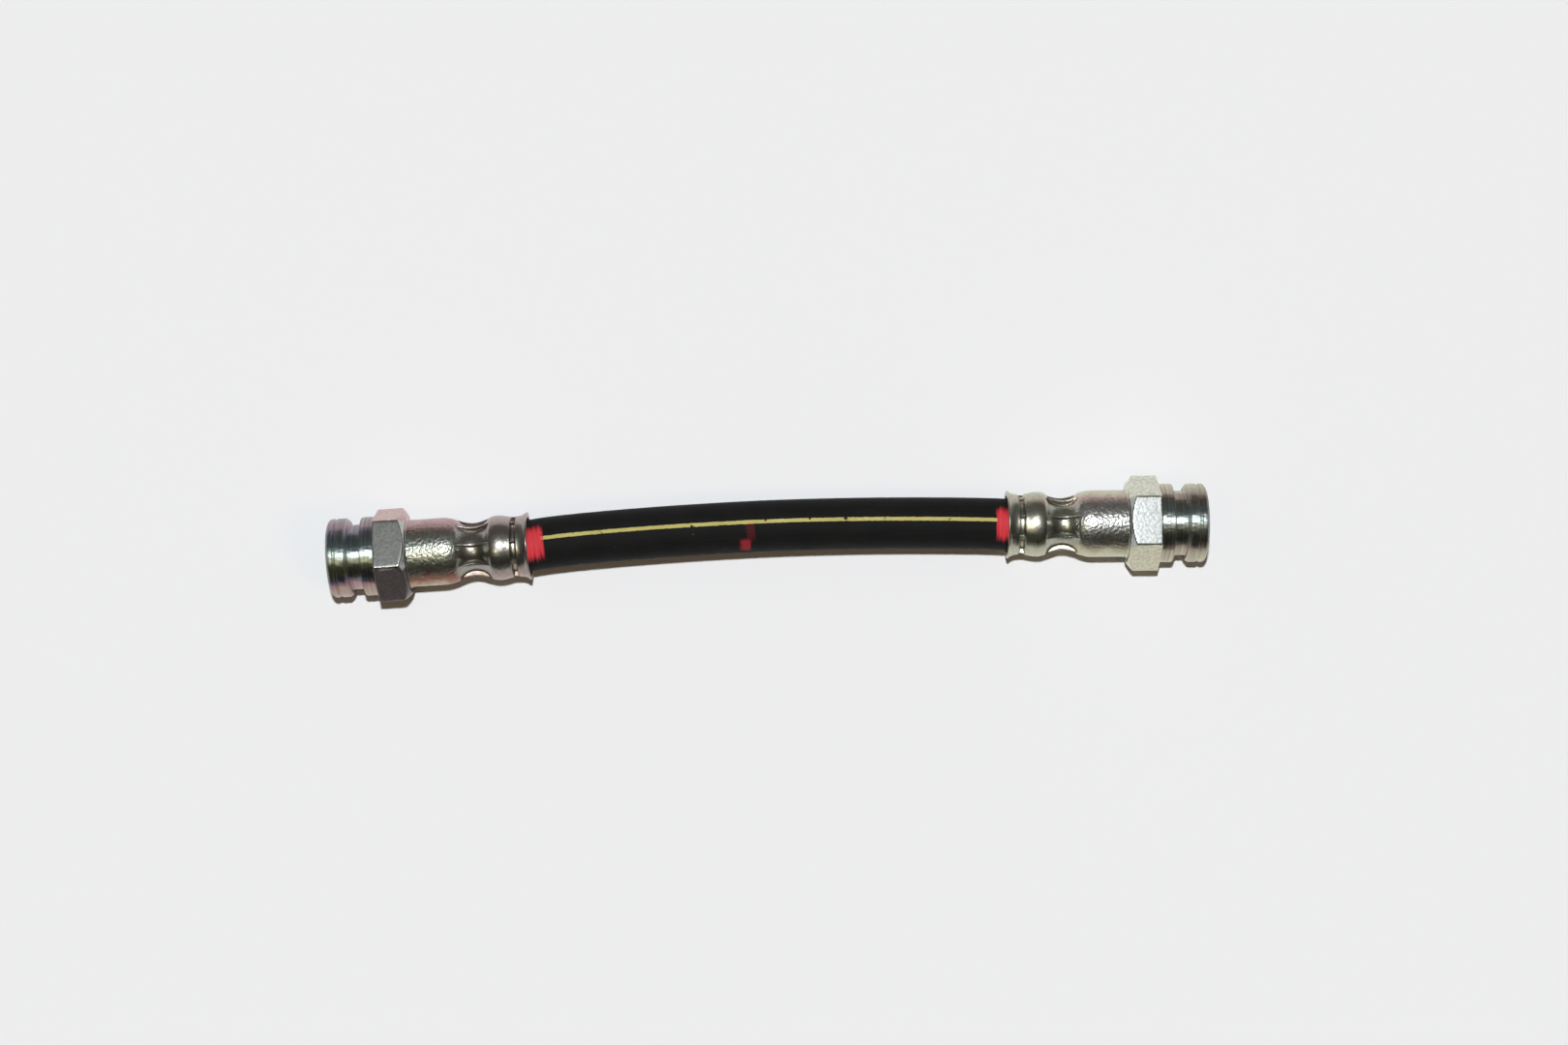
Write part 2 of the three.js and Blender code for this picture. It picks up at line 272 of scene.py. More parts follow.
def make_hose():
    line = smooth_line(hose_points(), HOSE_STEP)
    steps = np.linalg.norm(np.diff(line, axis=0), axis=1)
    along = np.concatenate([[0], np.cumsum(steps)])
    tangent = np.gradient(line, along, axis=0)
    tangent /= np.linalg.norm(tangent, axis=1)[:, None]
    across = np.cross([0, 0, 1], tangent)
    across /= np.linalg.norm(across, axis=1)[:, None]
    upward = np.cross(tangent, across)

    # Angles run from the bottom round to the bottom, positive on the far side (+Y)
    angle = np.linspace(-math.pi, math.pi, HOSE_SIDES + 1)[:-1]
    total = along[-1]
    in_left = np.clip(HOSE_CUT_DEPTH - along, 0, None)
    in_right = np.clip(along - (total - HOSE_CUT_DEPTH), 0, None)
    radius = np.full((len(line), HOSE_SIDES), HOSE_DIAMETER / 2)
    for side, depth, sense in (("left", in_left, 1), ("right", in_right, -1)):
        skirt = skirt_radius(depth[:, None], sense * angle[None, :], CRIMP_TURN[side])
        room = skirt - SKIRT_WALL - HOSE_SLACK
        radius = np.where(depth[:, None] > 0, np.minimum(radius, room), radius)

    # The bore is stretched over the insert inside the fittings
    depth = np.maximum(in_left, in_right)
    stretched = smooth_step(depth, INSERT_TIP - BORE_FLARE_LENGTH, INSERT_TIP)
    bore = blend(HOSE_BORE, INSERT_DIAMETER + HOSE_SLACK, stretched) / 2

    def rings(rows, radii):
        circle = radii[:, :, None] * (
            across[rows][:, None, :] * np.sin(angle)[None, :, None]
            + upward[rows][:, None, :] * np.cos(angle)[None, :, None]
        )
        return line[rows][:, None, :] + circle

    outside = np.arange(len(line))
    inside = outside[::-1]
    bore_radii = np.repeat(bore[inside][:, None], HOSE_SIDES, axis=1)
    rounded = radius - CUT_ROUNDING
    skin = np.concatenate([
        rings(outside[:1], rounded[:1]),
        rings(outside[1:-1], radius[1:-1]),
        rings(outside[-1:], rounded[-1:]),
        rings(inside, bore_radii),
    ])
    faces = ring_faces(len(skin), HOSE_SIDES, closed=True)

    # Each corner's length from the left mouth and its distance round from the top, in millimetres
    lengths = np.concatenate([along, along[inside]]) - HOSE_CUT_DEPTH
    ring_of = faces // HOSE_SIDES
    around = np.append(angle, math.pi) * HOSE_DIAMETER / 2
    side_of = faces % HOSE_SIDES
    side_of[:, 2:] = np.where(side_of[:, :1] == HOSE_SIDES - 1, HOSE_SIDES, side_of[:, 2:])
    uv = np.stack([lengths[ring_of], around[side_of]], axis=-1)
    hose = mesh_object("rubber_hose", skin.reshape(-1, 3), faces, uv)
    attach(hose, "root")
    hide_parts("hose")
    return hose, total - 2 * HOSE_CUT_DEPTH


hose, free_length = make_hose()


# Hexagon, turned nose and inside of a fitting

HEX_WIDTH = 17.0
HEX_THICKNESS = 6.4
HEX_FACE_DIAMETER = 16.2
HEX_CHAMFER = 1.25
# The higher this is, the sharper are the six edges of the hexagon
HEX_SHARPNESS = 75
COLLAR_DIAMETER = 16.0
COLLAR_THICKNESS = 2.8
CLIP_GROOVE_DIAMETER = 13.15
CLIP_GROOVE_WIDTH = 2.6
END_RING_DIAMETER = 16.0
END_RING_THICKNESS = 4.2
END_RING_CHAMFER = 0.6
END_FACE_DIAMETER = 14.6
END_ROUND = 0.5
NOTCH_WIDTH = 0.7
NOTCH_DEPTH = 0.4
NOTCH_FROM_END = 1.65
SOCKET_DIAMETER = 8.9
SOCKET_DEPTH = 13.0
SOCKET_LEAD_DIAMETER = 10.2
THREAD_DIAMETER = 9.9
THREAD_PITCH = 1.0
THREAD_LENGTH = 10.5
THREAD_RINGS_PER_PITCH = 5
THREAD_RUN = 0.8
SEAT_HALF_ANGLE = math.radians(60)
PASSAGE_DIAMETER = 3.2
POCKET_DIAMETER = 5.0
POCKET_END = 24.5

HEX_START = SKIRT_LENGTH
COLLAR_START = HEX_START + HEX_THICKNESS
CLIP_GROOVE_START = COLLAR_START + COLLAR_THICKNESS
END_RING_START = CLIP_GROOVE_START + CLIP_GROOVE_WIDTH
FITTING_LENGTH = END_RING_START + END_RING_THICKNESS

THREAD_START = FITTING_LENGTH - (SOCKET_LEAD_DIAMETER - SOCKET_DIAMETER) / 2
THREAD_END = THREAD_START - THREAD_LENGTH

# How fine the mesh is: sides round the axis, and how many more there are in the zones round the
# hexagon's corners and the fins
FITTING_SIDES = 320
FINE_STEPS = 20 * FITTING_SIDES
CORNER_CROWDING = 3
FIN_CROWDING = 6
CORNER_ZONE = math.radians(2.5)
FIN_ZONE = math.radians(4.7)
# A ring this far beyond each rounded corner keeps the faces beside it flat
SUPPORT_GAP = 0.06
FILLET_STEPS = (0, 1 / 3, 2 / 3, 1)
# The most that a rounding and its support ring take of the room up to the next corner
MOST_OF_ROOM = (0.45, 0.48)
# Rings inside the skirt lie this many times as far apart as those outside
INSIDE_SPREAD = 3
# Where one outline hands over to the next: before the hexagon, below the thread, in the cavity
SKIRT_RUN_IN = 0.8
OUTLINE_GAP = 0.1
CAVITY_RUN_OUT = 0.3
# The turned surfaces begin at the rounded edge of the hexagon's outer face
TURNED_START = COLLAR_START - 0.05


def fitting_angles(roll, crimp_turn):
    """Angles round the axis, closer together at the hexagon's corners and on the fins."""
    fine = np.linspace(0, 2 * math.pi, FINE_STEPS + 1)
    zones = [
        (roll + math.pi / 6, math.pi / 3, CORNER_ZONE, CORNER_CROWDING),
        (crimp_turn, JAW_PITCH, FIN_ZONE, FIN_CROWDING),
    ]
    weight = np.ones(len(fine))
    for middle, pitch, zone, crowding in zones:
        off = np.abs((fine - middle + pitch / 2) % pitch - pitch / 2)
        weight += crowding * (off < zone)
    passed = np.cumsum(weight) - weight[0]
    return np.interp(np.linspace(0, passed[-1], FITTING_SIDES + 1)[:-1], passed, fine)


def hex_radius(angle, roll):
    """Radius of a hexagon with slightly rounded corners and a flat on top when the roll is 0."""
    total = 0
    for turn in (0, 60, 120):
        total = total + np.abs(np.cos(angle - roll - math.radians(turn))) ** HEX_SHARPNESS
    return HEX_WIDTH / 2 / total ** (1 / HEX_SHARPNESS)


def rounded_outline(corners):
    """Rings along an outline of (length, radius, rounding), with each corner rounded."""
    all_round = np.zeros(FITTING_SIDES)
    points = np.array([
        np.stack(np.broadcast_arrays(length, radius, all_round)[:2], axis=-1)
        for length, radius, _ in corners
    ])
    most_reach, most_support = MOST_OF_ROOM
    rings = [points[0]]
    for index in range(1, len(corners) - 1):
        rounding = corners[index][2]
        corner = points[index]
        before = points[index - 1] - corner
        after = points[index + 1] - corner
        room_before = np.linalg.norm(before, axis=1)[:, None]
        room_after = np.linalg.norm(after, axis=1)[:, None]
        before = before / room_before
        after = after / room_after
        room = np.minimum(room_before, room_after)
        reach = np.minimum(rounding, most_reach * room)
        support = np.minimum(reach + SUPPORT_GAP, most_support * room)
        rings.append(corner + before * support)
        for t in FILLET_STEPS:
            rings.append(corner + before * reach * (1 - t) ** 2 + after * reach * t ** 2)
        rings.append(corner + after * support)
    rings.append(points[-1])
    return rings


def skirt_lengths(spread):
    """Lengths of the skirt's rings, closest together in the groove and over the waist's marks."""
    groove_reach = 0.9
    waist_end = WAIST + WAIST_RUN_TO_HEX
    stretches = [
        (0.3, GROOVE - groove_reach, 0.22),
        (GROOVE - groove_reach, GROOVE + groove_reach, 0.09),
        (GROOVE + groove_reach, WAIST - JAW_NOSE_RADIUS, 0.3),
        (WAIST - JAW_NOSE_RADIUS, WAIST + JAW_NOSE_RADIUS, 0.26),
        (WAIST + JAW_NOSE_RADIUS, waist_end, 0.4),
    ]
    rows = [np.arange(start, end, step * spread) for start, end, step in stretches]
    lengths = np.concatenate([*rows, [waist_end, waist_end + 1]])
    return lengths[lengths > RIM_ROUNDING]


def skirt_rings(lengths, angle, crimp_turn, inset):
    radii = skirt_radius(lengths[:, None], angle[None, :], crimp_turn) - inset
    return [
        np.stack(np.broadcast_arrays(length, row), axis=-1)
        for length, row in zip(lengths, radii)
    ]


def thread_rings(angle):
    """An internal M10x1 thread from the lead chamfer inwards, as rings of varying radius."""
    minor = SOCKET_DIAMETER / 2
    depth = (THREAD_DIAMETER - SOCKET_DIAMETER) / 2
    count = int(THREAD_LENGTH / THREAD_PITCH * THREAD_RINGS_PER_PITCH)
    rings = []
    for length in np.linspace(THREAD_START, THREAD_END, count):
        turn = length / THREAD_PITCH - angle / (2 * math.pi)
        wave = 2 * np.abs(turn - np.floor(turn) - 0.5)
        run_out = smooth_step(length - THREAD_END, 0, THREAD_RUN)
        run_in = smooth_step(THREAD_START - length, 0, THREAD_RUN / 2)
        radius = minor + depth * wave * run_out * run_in
        rings.append(np.stack(np.broadcast_arrays(length, radius), axis=-1))
    return rings


def fitting_rings(angle, crimp_turn, roll):
    """All rings of a fitting in one closed loop: out over it, back through it."""
    hexagon = hex_radius(angle, roll)
    face = HEX_FACE_DIAMETER / 2
    cone_slope = HEX_CHAMFER / (HEX_WIDTH / math.sqrt(3) - face)
    chamfer_end = HEX_START + cone_slope * (hexagon - face)
    outer_rim = float(fin_radius(np.array(0.0)))
    inner_rim = outer_rim - SKIRT_WALL
    outside = skirt_lengths(1)
    inside = skirt_lengths(INSIDE_SPREAD)[::-1]
    last_skirt = SKIRT_DIAMETER / 2
    cavity = last_skirt - SKIRT_WALL
    collar = COLLAR_DIAMETER / 2
    groove = CLIP_GROOVE_DIAMETER / 2
    ring = END_RING_DIAMETER / 2
    notch = FITTING_LENGTH - NOTCH_FROM_END
    socket = SOCKET_DIAMETER / 2
    lead = SOCKET_LEAD_DIAMETER / 2
    passage = PASSAGE_DIAMETER / 2
    seat_top = FITTING_LENGTH - SOCKET_DEPTH
    seat_end = seat_top - (socket - passage) / math.tan(SEAT_HALF_ANGLE)
    lip = rounded_outline([
        (RIM_ROUNDING, inner_rim, 0),
        (0, inner_rim, RIM_ROUNDING),
        (0, outer_rim, RIM_ROUNDING),
        (RIM_ROUNDING, outer_rim, 0),
    ])[1:-1]
    body = rounded_outline([
        (HEX_START - SKIRT_RUN_IN, last_skirt, 0),
        (HEX_START, last_skirt, 0.45),
        (HEX_START, face, 0.2),
        (chamfer_end, hexagon, 0.25),
        (COLLAR_START, hexagon, 0.3),
        (COLLAR_START, collar, 0.1),
        (CLIP_GROOVE_START, collar, 0.25),
        (CLIP_GROOVE_START, groove, 0.25),
        (END_RING_START, groove, 0.25),
        (END_RING_START, ring - END_RING_CHAMFER, 0.12),
        (END_RING_START + END_RING_CHAMFER, ring, 0.25),
        (notch - NOTCH_WIDTH / 2, ring, 0.12),
        (notch, ring - NOTCH_DEPTH, 0.1),
        (notch + NOTCH_WIDTH / 2, ring, 0.12),
        (FITTING_LENGTH - END_ROUND, ring, 0.3),
        (FITTING_LENGTH, END_FACE_DIAMETER / 2, 0.15),
        (FITTING_LENGTH, lead, 0.1),
        (THREAD_START, socket, 0),
    ])[:-1]
    bottom = rounded_outline([
        (THREAD_END - OUTLINE_GAP, socket, 0),
        (seat_top, socket, 0.2),
        (seat_end, passage, 0.15),
        (POCKET_END, passage, 0.1),
        (POCKET_END, POCKET_DIAMETER / 2, 0.1),
        (CAVITY_DEPTH, POCKET_DIAMETER / 2, 0.1),
        (CAVITY_DEPTH, cavity, 0.2),
        (CAVITY_DEPTH - CAVITY_RUN_OUT, cavity, 0),
    ])
    return np.array([
        *lip,
        *skirt_rings(outside, angle, crimp_turn, 0),
        *body,
        *thread_rings(angle),
        *bottom,
        *skirt_rings(inside, angle, crimp_turn, SKIRT_WALL),
    ])


def turned_corners(rings, angle):
    """Corner positions in a fitting's own frame, from rings of (length, radius)."""
    length, radius = rings[..., 0], rings[..., 1]
    corners = [length, -radius * np.sin(angle), radius * np.cos(angle)]
    return np.stack(corners, axis=-1).reshape(-1, 3)


def make_fitting(side):
    roll = ROLL[side]
    crimp_turn = CRIMP_TURN[side]
    angle = fitting_angles(roll, crimp_turn)
    rings = fitting_rings(angle, crimp_turn, roll)
    faces = ring_faces(len(rings), FITTING_SIDES, closed=True)[:, ::-1]
    fitting = mesh_object(f"{side}_crimped_fitting", turned_corners(rings, angle), faces)

    # The nose and the inside are turned, the skirt and the hexagon keep their forged skin
    centre = rings[:, :, 0].mean(axis=1)
    is_turned = (centre > TURNED_START) | (np.arange(len(rings)) > centre.argmax())
    slots = np.repeat(is_turned, FITTING_SIDES).astype(int)
    fitting.data.polygons.foreach_set("material_index", slots)
    fitting.matrix_world = in_metres(ENDS[side])
    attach(fitting, "root")
    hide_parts(f"{side}_fitting")
    return fitting


# Inserts pressed into the fittings

INSERT_BORE = 2.2
INSERT_HEAD_DIAMETER = 4.4
INSERT_HEAD_START = 21.5
INSERT_END = 24.2
INSERT_ANGLES = np.linspace(0, 2 * math.pi, FITTING_SIDES + 1)[:-1]


def make_insert(side):
    outer = INSERT_DIAMETER / 2
    bore = INSERT_BORE / 2
    head = INSERT_HEAD_DIAMETER / 2
    middle = INSERT_END / 2
    rings = np.array(rounded_outline([
        (middle, bore, 0),
        (INSERT_TIP, bore, 0.15),
        (INSERT_TIP, outer, 0.25),
        (INSERT_HEAD_START, outer, 0.15),
        (INSERT_HEAD_START, head, 0.15),
        (INSERT_END, head, 0.25),
        (INSERT_END, bore, 0.15),
        (middle + 1, bore, 0),
    ]))
    faces = ring_faces(len(rings), FITTING_SIDES, closed=True)[:, ::-1]
    insert = mesh_object(f"{side}_steel_insert", turned_corners(rings, INSERT_ANGLES), faces)
    insert.matrix_world = in_metres(ENDS[side])
    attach(insert, "root")
    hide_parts(f"{side}_insert")
    return insert


# Materials

def linear(hex_colour):
    """Linear RGBA from an sRGB hex colour."""
    channels = [int(hex_colour[start:start + 2], 16) / 255 for start in (0, 2, 4)]
    straight = [c / 12.92 if c <= 0.04045 else ((c + 0.055) / 1.055) ** 2.4 for c in channels]
    return (*straight, 1)


def add_node(tree, kind, values, **settings):
    """Adds a shader node with its settings, socket values and links, and gives its outputs.
    A Mix node takes its two colours on sockets 6 and 7, and gives the mixed one on 2."""
    node = tree.nodes.new("ShaderNode" + kind)
    for name, value in settings.items():
        setattr(node, name, value)
    for socket, value in values.items():
        if isinstance(value, bpy.types.NodeSocket):
            tree.links.new(value, node.inputs[socket])
        else:
            node.inputs[socket].default_value = value
    return node.outputs


def new_material(name):
    """An empty material and its node tree."""
    material = bpy.data.materials.new(name)
    material.use_nodes = True
    material.node_tree.nodes.clear()
    return material, material.node_tree


def fill_ramp(ramp, stops):
    """Sets the stops of a colour ramp, as position and sRGB hex colour."""
    while len(ramp.elements) < len(stops):
        ramp.elements.new(1.0)
    for element, (position, colour) in zip(ramp.elements, stops):
        element.position = position
        element.color = linear(colour)


def paint_mask(tree, distance, half_width, softness):
    """1 where a distance in millimetres is under half_width, falling to 0 over softness."""
    return add_node(tree, "MapRange", {
        "Value": distance,
        "From Min": half_width - softness / 2,
        "From Max": half_width + softness / 2,
        "To Min": 1,
        "To Max": 0,
    }, interpolation_type="SMOOTHSTEP")[0]


# How far the sides of a stroke wander with the brush streaks, and how soft they are
RAGGED_BY = 1.6
STROKE_EDGE = 0.5
# Round the hose a stroke thins out about this share of its reach, over the second share
STROKE_CORE, STROKE_FADE = 0.6, 0.8
# Cover and streaks together leave the hose bare below the first value and hide it from the second
STREAKS_BARE, STREAKS_FULL = 0.72, 1.3


def brush_mark(tree, place, brush, middle, half_size):
    """A stroke of thin paint: ragged at its sides, and streaky where it thins out round the hose."""
    off = add_node(tree, "VectorMath", {0: place, 1: (*middle, 0)}, operation="SUBTRACT")[0]
    off = add_node(tree, "VectorMath", {0: off}, operation="ABSOLUTE")[0]
    off_along, off_around, _ = add_node(tree, "SeparateXYZ", {0: off})
    half_along, half_around = half_size
    ragged = add_node(tree, "Math", {
        0: brush, 1: RAGGED_BY, 2: -RAGGED_BY / 2}, operation="MULTIPLY_ADD")[0]
    off_along = add_node(tree, "Math", {0: off_along, 1: ragged}, operation="ADD")[0]
    cover = paint_mask(tree, off_around, half_around * STROKE_CORE, half_around * STROKE_FADE)
    cover = add_node(tree, "Math", {0: cover, 1: brush}, operation="ADD")[0]
    cover = add_node(tree, "MapRange", {
        "Value": cover, "From Min": STREAKS_BARE, "From Max": STREAKS_FULL})[0]
    sides = paint_mask(tree, off_along, half_along, STROKE_EDGE)
    return add_node(tree, "Math", {0: cover, 1: sides}, operation="MULTIPLY")[0]


# Sizes on the rubber, in millimetres
DRAW_LINE_LENGTH = 12
DRAW_LINE_SPACING = 0.4
GRAIN_SIZE = 0.5
BLOTCH_SIZE = 6
RUBBER_RELIEF = 0.03
DUST_SPACING = 1.6
LAY_LINE_WIDTH = 0.74
# How far round from the top the lay line runs at the left and at the right mouth
LAY_LINE_LEFT = 0.63
LAY_LINE_RIGHT = 0.35
LAY_LINE_EDGE = 0.12
WAVE_LENGTH = 0.7
WAVE_REACH = 0.25
NICK_SIZE = 1.8
BRUSH_STREAK_SPACING = 0.5
BRUSH_STREAK_LENGTH = 7
MIDDLE_MARK = 44.0

RUBBER_ROUGHNESS = 0.72
PAINT_ROUGHNESS = 0.6


def epdm_rubber(free_length):
    """Extruded EPDM rubber, vulcanised: nearly black and dull, with faint draw lines along it.
    A pale yellow lay line runs along the top, and red paint was brushed on in three places."""
    material, tree = new_material("extruded_epdm_rubber")
    place = add_node(tree, "UVMap", {}, uv_map="along_and_around")[0]
    along, around, _ = add_node(tree, "SeparateXYZ", {0: place})

    # Draw lines run along the hose, over grain. Both are drawn coarser than the real ones
    draw_place = add_node(tree, "VectorMath", {
        0: place, 1: (1 / DRAW_LINE_LENGTH, 1 / DRAW_LINE_SPACING, 1)}, operation="MULTIPLY")[0]
    draw_lines = add_node(tree, "TexNoise", {"Vector": draw_place, "Scale": 1.0, "Detail": 2.0})[0]
    grain = add_node(tree, "TexNoise", {"Vector": place, "Scale": 1 / GRAIN_SIZE, "Detail": 3.0})[0]
    blotches = add_node(tree, "TexNoise", {
        "Vector": place, "Scale": 1 / BLOTCH_SIZE, "Detail": 2.0})[0]
    shade = add_node(tree, "Math", {0: draw_lines, 1: blotches}, operation="MULTIPLY")[0]
    rubber = add_node(tree, "Mix", {
        "Factor": shade, 6: linear("0a0a0a"), 7: linear("20201f")}, data_type="RGBA")[2]

    # A speck of thin dust, a tenth of the spacing wide, in one cell of ten
    specks = add_node(tree, "TexVoronoi", {"Vector": place, "Scale": 1 / DUST_SPACING})
    pick = add_node(tree, "SeparateColor", {0: specks[1]})[0]
    rare = add_node(tree, "Math", {0: pick, 1: 0.9}, operation="GREATER_THAN")[0]
    speck = paint_mask(tree, specks[0], 0.05, 0.04)
    dust = add_node(tree, "Math", {0: speck, 1: rare}, operation="MULTIPLY")[0]
    dust = add_node(tree, "Math", {0: dust, 1: 0.5}, operation="MULTIPLY")[0]
    colour = add_node(tree, "Mix", {
        "Factor": dust, 6: rubber, 7: linear("9a9a94")}, data_type="RGBA")[2]

    # Lay line, wavy by 0.1 mm and nicked, that drifts towards the top of the hose
    slope = (LAY_LINE_RIGHT - LAY_LINE_LEFT) / free_length
    drift = add_node(tree, "Math", {
        0: along, 1: slope, 2: LAY_LINE_LEFT}, operation="MULTIPLY_ADD")[0]
    wave = add_node(tree, "TexNoise", {
        "Vector": place, "Scale": 1 / WAVE_LENGTH, "Detail": 3.0})[0]
    drift = add_node(tree, "Math", {0: wave, 1: WAVE_REACH, 2: drift}, operation="MULTIPLY_ADD")[0]
    from_line = add_node(tree, "Math", {0: around, 1: drift}, operation="SUBTRACT")[0]
    from_line = add_node(tree, "Math", {0: from_line}, operation="ABSOLUTE")[0]
    nicks = add_node(tree, "TexNoise", {"Vector": place, "Scale": 1 / NICK_SIZE, "Detail": 4.0})[0]
    line = paint_mask(tree, from_line, LAY_LINE_WIDTH / 2, LAY_LINE_EDGE)
    whole = paint_mask(tree, nicks, 0.66, 0.1)
    line = add_node(tree, "Math", {0: line, 1: whole}, operation="MULTIPLY")[0]
    yellow = add_node(tree, "Mix", {
        "Factor": blotches, 6: linear("a39a50"), 7: linear("cfc47c")}, data_type="RGBA")[2]
    colour = add_node(tree, "Mix", {
        "Factor": line, 6: colour, 7: yellow}, data_type="RGBA")[2]

    # Brush streaks run round the hose
    brush_place = add_node(tree, "VectorMath", {
        0: place, 1: (1 / BRUSH_STREAK_SPACING, 1 / BRUSH_STREAK_LENGTH, 1)}, operation="MULTIPLY")[0]
    brush = add_node(tree, "TexNoise", {"Vector": brush_place, "Scale": 1.0, "Detail": 3.0})[0]
    # How much each mark covers, its middle and its half size, along and around the hose
    marks = [
        (1.0, (0.5, 0.0), (2.6, 5.2)),
        (1.0, (free_length - 0.1, -0.3), (2.2, 5.3)),
        (0.45, (MIDDLE_MARK, -4.6), (1.1, 2.4)),
        (0.09, (MIDDLE_MARK + 1.1, -1.5), (0.8, 3.2)),
    ]
    red = 0.0
    for thickness, middle, half_size in marks:
        mark = brush_mark(tree, place, brush, middle, half_size)
        mark = add_node(tree, "Math", {0: mark, 1: thickness}, operation="MULTIPLY")[0]
        red = add_node(tree, "Math", {0: red, 1: mark}, operation="MAXIMUM")[0]
    red_paint = add_node(tree, "Mix", {
        "Factor": brush, 6: linear("ad1c28"), 7: linear("e2464f")}, data_type="RGBA")[2]
    colour = add_node(tree, "Mix", {
        "Factor": red, 6: colour, 7: red_paint}, data_type="RGBA")[2]

    painted = add_node(tree, "Math", {0: red, 1: line}, operation="MAXIMUM")[0]
    roughness = add_node(tree, "MapRange", {
        "Value": painted, "To Min": RUBBER_ROUGHNESS, "To Max": PAINT_ROUGHNESS})[0]
    relief = add_node(tree, "Math", {0: draw_lines, 1: grain}, operation="ADD")[0]
    bump = add_node(tree, "Bump", {
        "Strength": 0.35, "Distance": RUBBER_RELIEF * MM, "Height": relief})[0]
    shader = add_node(tree, "BsdfPrincipled", {
        "Base Color": colour,
        "Roughness": roughness,
        "IOR": 1.5,
        "Specular IOR Level": 0.2,
        "Normal": bump,
    })[0]
    add_node(tree, "OutputMaterial", {"Surface": shader})
    return material


# Tints across a fitting, from its far side (0) over the top (0.5) to its near side (1). The colours
# on the sides are partly the passivation film's own pink, brown and yellow-green and partly painted
# reflection. The darker near-side bands of the skirts and the dark near face of the left hexagon are
# painted shade, and the lighter sides of the right hexagon are painted reflection of the table.
TINTS_AND_PAINTED_SHADE = {
    "left_forged": [
        (0.0, "c9b3b0"), (0.1, "c6a3a6"), (0.2, "b09a94"), (0.32, "a9aea8"),
        (0.62, "aeb09f"), (0.78, "9b998c"), (0.86, "8d6252"), (0.93, "a57f69"), (1.0, "c2b29c"),
    ],
    "left_turned": [
        (0.0, "aca5a4"), (0.08, "b39ba2"), (0.15, "a4a0b0"), (0.3, "a9bcc4"),
        (0.6, "bfc8b6"), (0.76, "b3b49a"), (0.82, "8d8fa6"), (0.89, "ba969a"), (1.0, "bfa999"),
    ],
    "right_forged": [
        (0.0, "d3d6c6"), (0.08, "d6d3bb"), (0.15, "cfb3ac"), (0.3, "bebebb"),
        (0.7, "b9bab4"), (0.82, "a89f8a"), (0.92, "cecdac"), (1.0, "cfd1bc"),
    ],
    "right_turned": [
        (0.0, "d2cdb4"), (0.08, "c9c0af"), (0.18, "a9998f"), (0.32, "b6c2c2"),
        (0.66, "bcc4bd"), (0.82, "a39a8e"), (0.9, "c4b5a5"), (1.0, "c9c7ac"),
    ],
    # The dark near face of this hexagon is painted shade
    "left_hexagon": [
        (0.0, "cfb0ab"), (0.04, "cfb0ab"), (0.08, "d0d2ce"),
        (0.7, "d0d2ce"), (0.74, "5f5856"), (1.0, "5f5856"),
    ],
    # The lighter sides of this hexagon are painted reflection of the table
    "right_hexagon": [
        (0.0, "e6e7d6"), (0.14, "e6e7d6"), (0.18, "bcc0bd"),
        (0.82, "bcc0bd"), (0.86, "dad6bd"), (1.0, "dad6bd"),
    ],
    "insert": [(0.0, "b0b1b3"), (1.0, "b6b6b4")],
}
MIDDLE_OF_BANDS = 0.5
# Distance from the axis at which the bands of tint and painted shade end
BAND_REACH = 7.2
END_BAND_EDGE = 0.1
HEXAGON_BAND_EDGE = 0.2
CLOUD_SIZE = 3
CLOUD_SHIFT = 0.24

# Where the jaws pressed, the film is partly worn to one even tint. That fades out along the skirt
# between the two lengths below
CRIMP_FILM = {"left": "b2aaa5", "right": "bdbeaa"}
CRIMP_WEAR = 0.6
PRESSED_UP_TO = WAIST + 1
UNTOUCHED_FROM = WAIST + 4

# Dimples and turning marks. Their sizes and depths are in millimetres, and both are drawn coarser
# than the real ones, which are finer than the picture can show
DIMPLE_SIZE = 0.6
DIMPLE_DEPTH = 0.13
CRIMP_DIMPLES = 0.25
HEXAGON_DIMPLES = 0.12
TURNING_MARK_SPACING = 0.45
# How little a turning mark changes for each millimetre round the axis
MARK_CHANGE = 0.03
TURNING_DEPTH = 0.06
SCUFF_SIZE = (1.2, 0.7, 0.7)
# Most of a noise texture's values lie between these two
NOISE_LOW, NOISE_HIGH = 0.35, 0.65
# Share of the tint that is left in the hollows of the dimples and marks, painted darker as shade
SKIRT_SHADE = 0.85
HEXAGON_SHADE = 0.72
TURNED_SHADE = 0.68

CRIMP_ROUGHNESS = 0.3
FORGED_ROUGHNESS = 0.36
HEXAGON_ROUGHNESS = 0.3
TURNED_ROUGHNESS = 0.4
TURNED_SPREAD = 0.85


